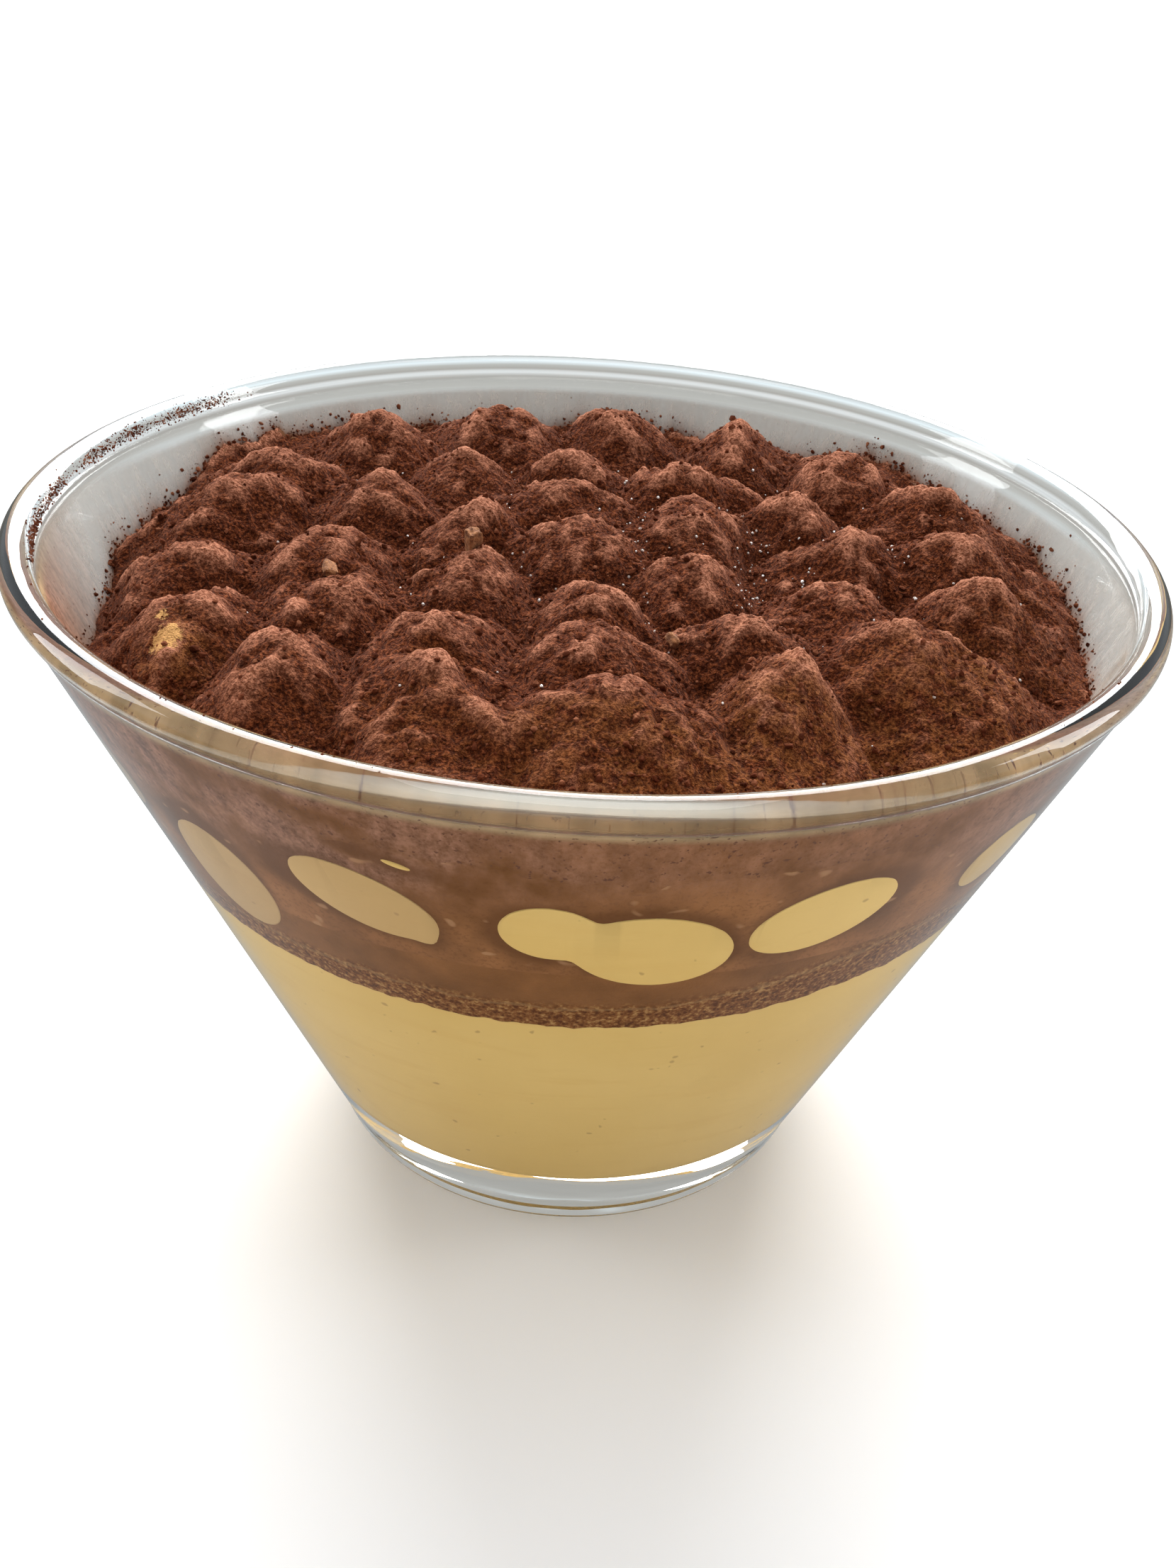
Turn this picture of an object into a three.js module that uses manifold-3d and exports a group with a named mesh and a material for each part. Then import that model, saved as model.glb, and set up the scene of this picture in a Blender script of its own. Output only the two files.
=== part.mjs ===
// Tiramisu in a conical glass cup: a clear glass with a thick foot and a beaded rim, filled
// from below with mascarpone cream, a layer of coffee-soaked sponge, and 36 piped dollops of
// cream in rings, whose tops carry the cocoa. The cup stands on z = 0 with its axis on z.
// Millimetres, +Z up. Azimuths are in degrees, 0 towards -Y and positive towards +X.
import * as THREE from "three";
import { mergeVertices } from "three/addons/utils/BufferGeometryUtils.js";
import Module from "manifold-3d";

// Glass cup.
const RIM_RADIUS = 60; // outside of the bead
const CUP_HEIGHT = 77.4;
const WALL = 2.4; // measured square to the slanting wall
const BEAD_RADIUS = 1.6; // the rim's rounded bead, which stands a little proud of both faces
const BEAD_START = -60; // where the outer wall runs into the bead, as an angle round the bead
const BEAD_END = 210; // where the bead runs back to the inner wall
const BEAD_BLEND = 3; // length of that run down the inner wall
const HEEL_RADIUS = 31.3; // where the foot's rounding meets the straight side
const HEEL_HEIGHT = 2.4;
const FOOT_RADIUS = 29.2; // outer edge of the flat ring that the cup stands on
const HOLLOW_RADIUS = 22; // the shallow hollow under the foot, inside that ring
const HOLLOW_DEPTH = 1.2;
const FLOOR_HEIGHT = 10.6; // top of the thick glass floor
const FLOOR_FILLET = 2.5; // rounding between floor and wall, inside

// Contents, from the floor up.
const GAP = 0.35; // clearance that neighbouring pieces keep
const CREAM_TOP = 46.1; // level of the lower cream
const CREAM_WAVES = [ // how that level rises and falls round the wall: height, waves, a crest's azimuth
  { height: 0.7, count: 3, crest: 40 },
  { height: 0.45, count: 5, crest: -27 },
];
const SPONGE_TOP = 54.2; // top of the soaked sponge, where the dollops stand

// Piped dollops, ring by ring: the azimuth of each one's tip, its distance from the axis and
// its height. The dollops were piped by hand, so the rings are uneven.
const RINGS = {
  outer: [
    [-179, 38.5, 76], [-157, 38.5, 75.6], [-134, 40.5, 76.1], [-111, 40.5, 75.5], [-98, 40.5, 75.6],
    [-74, 42, 75.1], [-55, 44, 75.2], [-38, 41.5, 75.6], [-17, 39, 76], [6, 38, 76.2],
    [32, 36, 76.6], [57, 38, 76.4], [81, 41, 75.6], [98, 40, 75.9], [117, 42.5, 76],
    [136, 40.5, 75.8], [158, 40, 76.2],
  ],
  middle: [
    [-168, 23.5, 75.8], [-136, 25.5, 75.9], [-108, 27, 76.1], [-73, 29, 75.5], [-52, 30.5, 75.3],
    [-27, 29.5, 75.6], [3, 27, 76], [37, 26, 75.9], [68, 27.5, 75.5], [99, 27.5, 75.9],
    [124, 26, 75.6], [158, 23, 75.7],
  ],
  inner: [
    [-156, 11.5, 76], [-98, 14.5, 75.8], [-47, 17, 75.4], [3, 17, 75.6], [60, 11.5, 75.5],
    [129, 12.5, 75.9],
  ],
  centre: [[-60, 2, 76]],
};
const DOLLOP_REACH = 22; // a lone dollop's radius, before its neighbours and the glass crowd it
const FLANK_SLOPE = 0.74; // fall of its flank for each millimetre outwards
const TIP_SOFTNESS = 2; // how blunt its tip is

// Facets.
const CUP_SEGMENTS = 64;
const BEAD_STEPS = 9;
const FILLET_STEPS = 3;
const DOLLOP_SEGMENTS = 16;
const TIP_RINGS = [14, 8.5, 4.8, 2.2]; // radii of the rings of vertices round a lone dollop's tip

// Each part's look.
const GLASS = { color: 0xe6ece6, roughness: 0.04, metalness: 0, transparent: true, opacity: 0.35 };
const LOWER_CREAM = { color: 0xd9b877, roughness: 0.55, metalness: 0 };
const SPONGE = { color: 0x5b3418, roughness: 0.9, metalness: 0 };
const DOLLOP = { color: 0x5a2c1b, roughness: 0.95, metalness: 0 };

const wasm = await Module();
wasm.setup();

const radians = THREE.MathUtils.degToRad;
const point = (x, y) => new THREE.Vector2(x, y);

// The closed mesh of a three.js geometry as a solid that can be joined and cut.
function solidOf(geometry) {
  const bare = geometry.clone();
  bare.deleteAttribute("normal");
  bare.deleteAttribute("uv");
  const merged = mergeVertices(bare);
  return new wasm.Manifold(
    new wasm.Mesh({
      numProp: 3,
      vertProperties: merged.getAttribute("position").array,
      triVerts: merged.index.array,
    }),
  );
}

function geometryOf(solid) {
  const mesh = solid.getMesh();
  const geometry = new THREE.BufferGeometry();
  geometry.setAttribute("position", new THREE.BufferAttribute(mesh.vertProperties, 3));
  geometry.setIndex(new THREE.BufferAttribute(mesh.triVerts, 1));
  geometry.computeVertexNormals();
  return geometry;
}

// A solid turned about the z axis. The section runs from the axis out and back to it,
// anticlockwise.
function turned(section, segments) {
  return new THREE.LatheGeometry(section, segments).rotateX(Math.PI / 2);
}

// The cup's section. The bead is a circle. The outer wall is a straight line from the heel to
// the bead, and the inner wall is parallel to it.
function onBead(degrees) {
  const turn = radians(degrees);
  return point(
    RIM_RADIUS - BEAD_RADIUS + BEAD_RADIUS * Math.cos(turn),
    CUP_HEIGHT - BEAD_RADIUS + BEAD_RADIUS * Math.sin(turn),
  );
}

const wallTop = onBead(BEAD_START);
const wallSlope = (wallTop.x - HEEL_RADIUS) / (wallTop.y - HEEL_HEIGHT);
const wallLean = Math.atan(wallSlope);
const wallAcross = WALL / Math.cos(wallLean); // the wall's thickness measured level

function innerRadius(z) {
  return HEEL_RADIUS + wallSlope * (z - HEEL_HEIGHT) - wallAcross;
}

// The rounding between the inner wall and the floor, from the wall down, moved inwards by an
// inset all along.
function floorRounding(inset) {
  const centreZ = FLOOR_HEIGHT + FLOOR_FILLET;
  const centreX = innerRadius(centreZ) - FLOOR_FILLET / Math.cos(wallLean);
  const radius = FLOOR_FILLET - inset;
  const points = [];
  for (let i = 0; i <= FILLET_STEPS; i++) {
    const turn = -wallLean - (i / FILLET_STEPS) * (Math.PI / 2 - wallLean);
    points.push(point(centreX + radius * Math.cos(turn), centreZ + radius * Math.sin(turn)));
  }
  return points;
}

function glassCup() {
  const section = [
    point(0, HOLLOW_DEPTH),
    point(HOLLOW_RADIUS - HOLLOW_DEPTH, HOLLOW_DEPTH),
    point(HOLLOW_RADIUS, 0),
    point(FOOT_RADIUS, 0),
    point(FOOT_RADIUS + 0.6 * (HEEL_RADIUS - FOOT_RADIUS), 0.3 * HEEL_HEIGHT),
    point(HEEL_RADIUS, HEEL_HEIGHT),
  ];
  for (let i = 0; i <= BEAD_STEPS; i++)
    section.push(onBead(BEAD_START + (i / BEAD_STEPS) * (BEAD_END - BEAD_START)));
  const blendFoot = CUP_HEIGHT - BEAD_RADIUS - BEAD_BLEND;
  section.push(point(innerRadius(blendFoot), blendFoot));
  section.push(...floorRounding(0), point(0, FLOOR_HEIGHT));
  return turned(section, CUP_SEGMENTS);
}

// The space inside the cup, clear of the glass by the gap. Every filling is cut to it.
function hollow() {
  const inset = GAP / Math.cos(wallLean);
  const section = [
    point(0, FLOOR_HEIGHT + GAP),
    ...floorRounding(GAP).reverse(),
    point(innerRadius(CUP_HEIGHT) - inset, CUP_HEIGHT),
    point(0, CUP_HEIGHT),
  ];
  return solidOf(turned(section, CUP_SEGMENTS));
}

// Level of the lower cream at a place. Its waves are full at the wall and die out at the axis.
function creamLevel({ x, y }) {
  const azimuth = Math.atan2(x, -y);
  const share = Math.hypot(x, y) / innerRadius(CREAM_TOP);
  return CREAM_WAVES.reduce(
    (z, { height, count, crest }) => z + share * height * Math.cos(count * (azimuth - radians(crest))),
    CREAM_TOP,
  );
}

// A filling between two surfaces, each given as a function from place to height.
function layer(space, bottom, top) {
  const slab = new THREE.CylinderGeometry(RIM_RADIUS, RIM_RADIUS, 1, CUP_SEGMENTS);
  slab.rotateX(Math.PI / 2);
  const position = slab.getAttribute("position");
  const vertex = new THREE.Vector3();
  for (let i = 0; i < position.count; i++) {
    vertex.fromBufferAttribute(position, i);
    position.setZ(i, vertex.z > 0 ? top(vertex) : bottom(vertex));
  }
  return geometryOf(solidOf(slab).intersect(space));
}

// How far below its tip a dollop's surface lies, at a distance from its axis.
const fall = (distance) => Math.hypot(FLANK_SLOPE * distance, TIP_SOFTNESS) - TIP_SOFTNESS;

// One dollop: a soft cone, cut off half way to each of its neighbours and at the glass.
function pipedDollop(space, dollop, dollops) {
  const base = SPONGE_TOP + GAP;
  const section = [
    point(0, base),
    point(DOLLOP_REACH, base),
    ...[DOLLOP_REACH, ...TIP_RINGS, 0].map((radius) => point(radius, dollop.tip - fall(radius))),
  ];
  const cone = turned(section, DOLLOP_SEGMENTS).translate(dollop.x, dollop.y, 0);
  let solid = solidOf(cone);
  for (const other of dollops) {
    if (other === dollop) continue;
    const away = point(dollop.x - other.x, dollop.y - other.y);
    const apart = away.length();
    away.normalize();
    const halfWay = away.dot(point(other.x, other.y)) + apart / 2;
    solid = solid.trimByPlane([away.x, away.y, 0], halfWay + GAP / 2);
  }
  return geometryOf(solid.intersect(space));
}

const tiramisu = new THREE.Group();

function add(name, geometry, look) {
  const mesh = new THREE.Mesh(geometry, new THREE.MeshStandardMaterial(look));
  mesh.name = name;
  tiramisu.add(mesh);
}

const space = hollow();
const dollops = Object.entries(RINGS).flatMap(([ring, places]) =>
  places.map(([azimuth, radius, tip], i) => ({
    name: `dollop_${ring}_${String(i + 1).padStart(2, "0")}`,
    x: radius * Math.sin(radians(azimuth)),
    y: -radius * Math.cos(radians(azimuth)),
    tip,
  })),
);

add("glass_cup", glassCup(), GLASS);
add("lower_cream", layer(space, () => 0, creamLevel), LOWER_CREAM);
add("soaked_sponge", layer(space, (v) => creamLevel(v) + GAP, () => SPONGE_TOP), SPONGE);
for (const dollop of dollops) add(dollop.name, pipedDollop(space, dollop, dollops), DOLLOP);

export default tiramisu;
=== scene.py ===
"""Looks of a tiramisu in a conical glass cup. Metres, +Z up, the cup's axis on z, -Y towards the
viewer. Azimuths are in degrees, 0 towards -Y and positive towards +X."""
import math
from math import radians

import bpy
import numpy as np
from mathutils import Matrix, Vector, noise


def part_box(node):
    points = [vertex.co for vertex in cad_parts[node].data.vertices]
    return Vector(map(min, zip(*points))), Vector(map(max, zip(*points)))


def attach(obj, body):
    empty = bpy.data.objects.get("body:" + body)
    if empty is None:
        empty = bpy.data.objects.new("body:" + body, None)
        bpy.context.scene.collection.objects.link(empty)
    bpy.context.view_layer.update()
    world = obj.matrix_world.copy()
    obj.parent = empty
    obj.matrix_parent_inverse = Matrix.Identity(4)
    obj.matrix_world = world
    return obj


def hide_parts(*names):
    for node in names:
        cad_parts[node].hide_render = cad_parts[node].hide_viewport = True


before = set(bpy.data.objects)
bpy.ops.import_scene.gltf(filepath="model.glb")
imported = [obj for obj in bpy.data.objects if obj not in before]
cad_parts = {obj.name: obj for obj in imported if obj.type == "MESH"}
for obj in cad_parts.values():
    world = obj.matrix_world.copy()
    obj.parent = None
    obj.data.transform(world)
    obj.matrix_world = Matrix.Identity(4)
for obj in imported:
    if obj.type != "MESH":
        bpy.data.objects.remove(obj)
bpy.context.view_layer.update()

MM = 0.001

# Glass cup. Its outside follows the frame; the wall, foot and bead are the frame's own sizes.
_, CUP_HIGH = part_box("glass_cup")
RIM_RADIUS = CUP_HIGH.x
CUP_HEIGHT = CUP_HIGH.z
WALL = 2.4 * MM
BEAD_RADIUS = 1.6 * MM
HEEL_RADIUS = 31.3 * MM
HEEL_HEIGHT = 2.4 * MM
FOOT_RADIUS = 29.2 * MM
HOLLOW_RADIUS = 22 * MM
HOLLOW_DEPTH = 1.2 * MM
FLOOR_HEIGHT = 10.6 * MM
FLOOR_FILLET = 2.5 * MM
BEAD_X = RIM_RADIUS - BEAD_RADIUS
BEAD_Z = CUP_HEIGHT - BEAD_RADIUS

# Fillings.
CREAM_TOP = 46.1 * MM
# Waves of its top: height, how many round the cup, and a crest's azimuth.
CREAM_WAVES = [(0.7 * MM, 3, 40), (0.45 * MM, 5, -27)]
SPONGE_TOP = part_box("soaked_sponge")[1].z
CREAM_RISE = 0.3 * MM  # the cream stands up into the sponge by this
SPONGE_SINK = 0.2 * MM  # and the sponge hangs down over it by this
CREAM_REACH = 0.12 * MM  # how far each filling reaches into the glass, so that no air shows
SPONGE_REACH = 0.2 * MM
FLOOR_GAP = 0.05 * MM  # the cream doesn't wet the flat floor, so the foot stays clear and bright
COCOA_REACH = 0.07 * MM
FILM_REACH = 0.2 * MM
DOLLOP_REACH = 0.34 * MM

SEED = 7
ROUND = 192  # steps round the cup
TINY = 0.001 * MM


# ------------------------ helpers


def on_bead(degrees):
    turn = radians(degrees)
    return BEAD_X + BEAD_RADIUS * math.cos(turn), BEAD_Z + BEAD_RADIUS * math.sin(turn)


WALL_TOP_X, WALL_TOP_Z = on_bead(-60)
WALL_SLOPE = (WALL_TOP_X - HEEL_RADIUS) / (WALL_TOP_Z - HEEL_HEIGHT)
WALL_LEAN = math.atan(WALL_SLOPE)
WALL_ACROSS = WALL / math.cos(WALL_LEAN)


def outer_radius(z):
    return HEEL_RADIUS + WALL_SLOPE * (z - HEEL_HEIGHT)


def inner_radius(z):
    return outer_radius(z) - WALL_ACROSS


def curve(start, control, end, steps):
    """Points of a quadratic curve, its start left out."""
    start, control, end = map(np.array, (start, control, end))
    return [
        tuple((1 - t) ** 2 * start + 2 * t * (1 - t) * control + t * t * end)
        for t in np.linspace(0, 1, steps + 1)[1:]
    ]


def deselect():
    if bpy.context.object and bpy.context.object.mode != "OBJECT":
        bpy.ops.object.mode_set(mode="OBJECT")
    bpy.ops.object.select_all(action="DESELECT")


def only(piece):
    deselect()
    piece.select_set(True)
    bpy.context.view_layer.objects.active = piece


def settle(piece):
    """Puts a piece's place into its mesh."""
    only(piece)
    bpy.ops.object.transform_apply(location=True, rotation=True, scale=True)


def apply_modifier(piece, kind, **values):
    only(piece)
    modifier = piece.modifiers.new(kind.lower(), kind)
    for key, value in values.items():
        setattr(modifier, key, value)
    bpy.ops.object.modifier_apply(modifier=modifier.name)


def spun(name, section, steps=ROUND):
    """A closed solid spun about z. A vertex is extruded along the section, which starts and ends on
    the axis or closes on itself. The line is spun through a quarter, and the quarter copied."""
    deselect()
    bpy.ops.mesh.primitive_plane_add(size=MM, location=(0, 0, 0))
    piece = bpy.context.object
    piece.name = name
    bpy.ops.object.mode_set(mode="EDIT")
    bpy.ops.mesh.select_all(action="SELECT")
    bpy.ops.mesh.merge(type="CENTER")
    x, z = section[0]
    bpy.ops.transform.translate(value=(x, 0, z))
    for next_x, next_z in section[1:]:
        bpy.ops.mesh.extrude_region_move(
            TRANSFORM_OT_translate={"value": (next_x - x, 0, next_z - z)}
        )
        x, z = next_x, next_z
    bpy.ops.mesh.select_all(action="SELECT")
    bpy.ops.mesh.spin(steps=steps // 4, angle=math.pi / 2, center=(0, 0, 0), axis=(0, 0, 1))
    bpy.ops.mesh.select_all(action="SELECT")
    for _ in range(3):
        bpy.ops.mesh.duplicate_move()
        bpy.ops.transform.rotate(value=math.pi / 2, orient_axis="Z", center_override=(0, 0, 0))
    bpy.ops.mesh.select_all(action="SELECT")
    bpy.ops.mesh.remove_doubles(threshold=1e-6)
    bpy.ops.mesh.normals_make_consistent(inside=False)
    bpy.ops.object.mode_set(mode="OBJECT")
    piece.data.materials.clear()
    return piece


def smooth(piece, degrees=40):
    only(piece)
    bpy.ops.object.shade_smooth_by_angle(angle=radians(degrees))


def vertices_of(piece):
    flat = np.empty(len(piece.data.vertices) * 3)
    piece.data.vertices.foreach_get("co", flat)
    return flat.reshape(-1, 3)


def set_vertices(piece, places):
    piece.data.vertices.foreach_set("co", np.asarray(places, dtype=np.float32).ravel())
    piece.data.update()


def finish_piece(piece, material, slot, *nodes):
    piece.data.materials.clear()
    piece.data.materials.append(material)
    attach(piece, "root")
    if nodes:
        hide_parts(*nodes)


def polar(places):
    """Azimuth in radians and radius of each place."""
    return np.arctan2(places[:, 0], -places[:, 1]), np.hypot(places[:, 0], places[:, 1])


def around(azimuth, radius, z):
    """Places from their azimuth in radians, radius and height."""
    return np.stack([radius * np.sin(azimuth), -radius * np.cos(azimuth), z], 1)


def by_azimuth(table, azimuth):
    """A value from a table of azimuths in degrees and values."""
    return np.interp(azimuth, *zip(*table))


def add_values(piece, name, values):
    layer = piece.data.attributes.new(name, "FLOAT", "POINT")
    layer.data.foreach_set("value", np.asarray(values, dtype=np.float32))


def cream_level(azimuth, share):
    """Height of the lower cream's top, flatter towards the middle, where the share of the radius is
    small."""
    z = CREAM_TOP
    for height, count, crest in CREAM_WAVES:
        z = z + share * height * np.cos(count * (azimuth - radians(crest)))
    return z


def rough(places, wavelength, shift=0.0):
    """Smooth noise from -1 to 1 at each place, with bumps of about that wavelength."""
    return np.array([noise.noise(p) for p in (places / wavelength + shift).tolist()])


# ------------------------ materials


class Nodes:
    """Short names for building the node tree of a new material, or of the world."""

    def __init__(self, name, world=None):
        self.material = world or bpy.data.materials.new(name)
        self.material.use_nodes = True
        self.tree = self.material.node_tree
        self.shader = self.tree.nodes["Background" if world else "Principled BSDF"]
        self.output = self.tree.nodes["World Output" if world else "Material Output"]
        coordinates = self.tree.nodes.new("ShaderNodeTexCoord")
        self.place = coordinates.outputs["Object"]
        self.direction = coordinates.outputs["Generated"]

    def link(self, source, target):
        self.tree.links.new(source, target)

    def feed(self, socket, value):
        """Links another node's output to a socket, or sets the socket's own value."""
        if isinstance(value, bpy.types.NodeSocket):
            self.link(value, socket)
        else:
            socket.default_value = value

    def node(self, kind, **inputs):
        made = self.tree.nodes.new(kind)
        for key, value in inputs.items():
            self.feed(made.inputs[key], value)
        return made

    def noise(self, wavelength, detail=2.0, roughness=0.5, stretch=(1, 1, 1), distortion=0.0):
        """Noise with bumps of about that wavelength, as a value from 0 to 1."""
        mapped = self.node("ShaderNodeMapping", Vector=self.place, Scale=stretch)
        made = self.node(
            "ShaderNodeTexNoise", Vector=mapped.outputs[0], Scale=1 / wavelength, Detail=detail,
            Roughness=roughness, Distortion=distortion,
        )
        return made.outputs["Fac"]

    def ramp(self, value, *stops):
        """Colour or grey stops, each a position and a colour or grey."""
        made = self.node("ShaderNodeValToRGB", Fac=value)
        elements = made.color_ramp.elements
        while len(elements) < len(stops):
            elements.new(0.5)
        for element, (position, colour) in zip(elements, stops):
            element.position = position
            element.color = (*(colour if isinstance(colour, tuple) else [colour] * 3), 1)
        return made.outputs["Color"]

    def maths(self, operation, a, b, clamp=False):
        made = self.tree.nodes.new("ShaderNodeMath")
        made.operation = operation
        made.use_clamp = clamp
        for socket, value in zip(made.inputs, (a, b)):
            self.feed(socket, value)
        return made.outputs[0]

    def times(self, a, b, clamp=False):
        return self.maths("MULTIPLY", a, b, clamp)

    def plus(self, a, b, clamp=False):
        return self.maths("ADD", a, b, clamp)

    def mix(self, share, a, b):
        """Colour a where the share is 0, and colour b where it is 1."""
        made = self.tree.nodes.new("ShaderNodeMix")
        made.data_type = "RGBA"
        for socket, value in zip((made.inputs[0], made.inputs[6], made.inputs[7]), (share, a, b)):
            self.feed(socket, (*value, 1) if isinstance(value, tuple) else value)
        return made.outputs[2]

    def between(self, value, low, high):
        """0 below low, 1 above high, and a smooth step between them."""
        made = self.node("ShaderNodeMapRange", Value=value)
        made.interpolation_type = "SMOOTHSTEP"
        made.inputs["From Min"].default_value = low
        made.inputs["From Max"].default_value = high
        return made.outputs[0]

    def attribute(self, name):
        made = self.tree.nodes.new("ShaderNodeAttribute")
        made.attribute_name = name
        return made.outputs["Fac"]

    def bump(self, height, distance, normal=None):
        made = self.node("ShaderNodeBump", Height=height, Distance=distance)
        if normal is not None:
            self.link(normal, made.inputs["Normal"])
        return made.outputs[0]

    def settings(self, **values):
        """Values of the shader's own sockets, which are the same all over the surface."""
        for key, value in values.items():
            self.shader.inputs[key.replace("_", " ")].default_value = value

    def finish(self, colour, roughness, specular=None):
        """Sets the surface's colour, roughness and, if not the usual one, specular level."""
        self.link(colour, self.shader.inputs["Base Color"])
        self.settings(Roughness=roughness)
        if specular is not None:
            self.settings(Specular_IOR_Level=specular)
        return self.material

    def roughen(self, height, distance, normal=None):
        """Finer relief than the mesh carries."""
        self.link(self.bump(height, distance, normal), self.shader.inputs["Normal"])


# Specular levels of what lies behind the glass: as good as none, or the glass looks veiled.
WET_SPECULAR = 0.06
DRY_SPECULAR = 0.05


def clear_glass():
    """Glass with faint waves. Light for the filling passes straight through it."""
    m = Nodes("clear_glass")
    m.settings(Base_Color=(0.90, 0.90, 0.875, 1), Roughness=0, IOR=1.5, Transmission_Weight=1)
    waves = m.noise(9 * MM, detail=1.0, stretch=(1, 1, 0.5))
    m.roughen(waves, 0.12 * MM)
    rays = m.tree.nodes.new("ShaderNodeLightPath")
    clear = m.node("ShaderNodeBsdfTransparent", Color=(0.94, 0.942, 0.93, 1))
    surface = m.shader.outputs[0]
    for kind in ("Is Diffuse Ray", "Is Shadow Ray"):
        passing = m.tree.nodes.new("ShaderNodeMixShader")
        m.link(rays.outputs[kind], passing.inputs[0])
        m.link(surface, passing.inputs[1])
        m.link(clear.outputs[0], passing.inputs[2])
        surface = passing.outputs[0]
    m.link(surface, m.output.inputs["Surface"])
    return m.material


def smooth_cream():
    """Matt whipped cream with faint smears and a few brown flecks."""
    m = Nodes("smooth_cream")
    broad = m.noise(22 * MM, detail=3)
    smears = m.noise(4 * MM, detail=3, stretch=(0.3, 0.3, 2.0), distortion=0.6)
    flecks = m.noise(1.3 * MM, detail=1)
    colour = m.ramp(broad, (0.3, (0.73, 0.475, 0.15)), (0.7, (0.79, 0.53, 0.185)))
    colour = m.mix(m.times(m.between(smears, 0.52, 0.7), 0.35), colour, (0.72, 0.45, 0.14))
    colour = m.mix(m.times(m.between(flecks, 0.73, 0.8), 0.5), colour, (0.3, 0.17, 0.06))
    colour = m.mix(m.attribute("stain"), colour, (0.4, 0.235, 0.14))
    m.roughen(smears, 0.15 * MM)
    return m.finish(colour, 0.55, WET_SPECULAR)


def soaked_crumb():
    """Moist brown sponge: open crumb with yellow specks at the lower edge, smooth above."""
    m = Nodes("soaked_crumb")
    grain = m.noise(0.5 * MM, detail=2, roughness=0.65)
    patches = m.noise(6 * MM, detail=3)
    line = m.noise(2.5 * MM, detail=2)
    smooth_part = m.ramp(patches, (0.3, (0.18, 0.072, 0.023)), (0.7, (0.29, 0.12, 0.041)))
    grainy = m.ramp(
        grain, (0.36, (0.10, 0.03, 0.008)), (0.53, (0.23, 0.082, 0.023)), (0.7, (0.44, 0.235, 0.08))
    )
    above = m.attribute("above")
    wavy = m.plus(above, m.times(line, 1.2))
    pale = m.times(m.between(wavy, 3.5, 3.7), m.between(wavy, 4.2, 3.9))
    colour = m.mix(m.between(wavy, 3.6, 5.2), grainy, smooth_part)
    colour = m.mix(m.times(pale, 0.28), colour, (0.42, 0.255, 0.11))
    m.roughen(grain, 0.25 * MM)
    return m.finish(colour, 0.7, WET_SPECULAR)


def stained(m):
    """Colour of the stain on the glass: brown, or mauve and streaky where "haze" is high."""
    broad = m.noise(7 * MM, detail=4, roughness=0.55)
    streaks = m.noise(1.6 * MM, detail=4, roughness=0.7, stretch=(1, 1, 0.4))
    fine = m.noise(0.45 * MM, detail=2, roughness=0.7)
    mottled = m.plus(m.times(streaks, 0.6), m.times(fine, 0.4))
    brown = m.ramp(broad, (0.32, (0.18, 0.072, 0.025)), (0.68, (0.35, 0.148, 0.056)))
    brown = m.mix(m.times(m.between(fine, 0.5, 0.66), 0.35), brown, (0.12, 0.045, 0.016))
    haze = m.ramp(mottled, (0.36, (0.13, 0.055, 0.03)), (0.64, (0.41, 0.205, 0.13)))
    share = m.times(m.attribute("haze"), m.between(broad, 0.3, 0.55))
    return m.mix(share, brown, haze)


def coffee_film():
    """The film under the cocoa: stained brown, with a dark line round each clean patch and a few
    pale bubbles."""
    m = Nodes("coffee_film")
    bubbles = m.noise(2.1 * MM, detail=0, stretch=(1, 1, 1.4))
    colour = m.mix(m.times(m.attribute("edge"), 0.75), stained(m), (0.13, 0.05, 0.018))
    colour = m.mix(m.times(m.between(bubbles, 0.74, 0.82), 0.5), colour, (0.52, 0.28, 0.14))
    return m.finish(colour, 0.75, WET_SPECULAR)


def cocoa_powder():
    """Dry cocoa: red-brown grain, with a painted highlight that makes it paler and pinker on the
    crests, orange where it lies thin, and bare cream where it has fallen away."""
    m = Nodes("cocoa_powder")
    grain = m.noise(0.36 * MM, detail=2, roughness=0.7)
    clumps = m.noise(1.5 * MM, detail=4, roughness=0.65)
    base = m.ramp(
        grain, (0.32, (0.022, 0.0045, 0.0018)), (0.5, (0.075, 0.0165, 0.0056)),
        (0.68, (0.24, 0.067, 0.024)),
    )
    # Painted highlight: a paler, pinker colour for the crests, where light falls on the tops of the
    # mounds.
    pale = m.mix(m.between(grain, 0.33, 0.67), (0.2, 0.06, 0.027), (0.6, 0.26, 0.155))
    crest = m.plus(m.attribute("crest"), m.times(clumps, 0.6))
    colour = m.mix(m.times(m.between(crest, 0.4, 1.6), 0.85), base, pale)
    orange = m.ramp(grain, (0.35, (0.09, 0.024, 0.008)), (0.65, (0.33, 0.12, 0.035)))
    thin = m.times(m.attribute("thin"), m.between(clumps, 0.36, 0.62))
    colour = m.mix(thin, colour, orange)
    ragged = m.noise(0.8 * MM, detail=3, roughness=0.7)
    bare = m.plus(m.attribute("bare"), m.times(ragged, 1.1))
    colour = m.mix(m.between(bare, 0.98, 1.16), colour, (0.62, 0.33, 0.12))
    m.settings(Sheen_Weight=0.15, Sheen_Roughness=0.4, Sheen_Tint=(0.85, 0.42, 0.3, 1))
    m.roughen(grain, 0.4 * MM, m.bump(clumps, 0.6 * MM))
    return m.finish(colour, 0.95, DRY_SPECULAR)


def loose_cocoa():
    """Grains and clumps of cocoa, each of one shade."""
    m = Nodes("loose_cocoa")
    spread = m.noise(1.1 * MM, detail=1)
    colour = m.ramp(
        spread, (0.3, (0.05, 0.012, 0.005)), (0.5, (0.12, 0.032, 0.014)), (0.7, (0.27, 0.1, 0.05))
    )
    return m.finish(colour, 0.95, DRY_SPECULAR)


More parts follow.
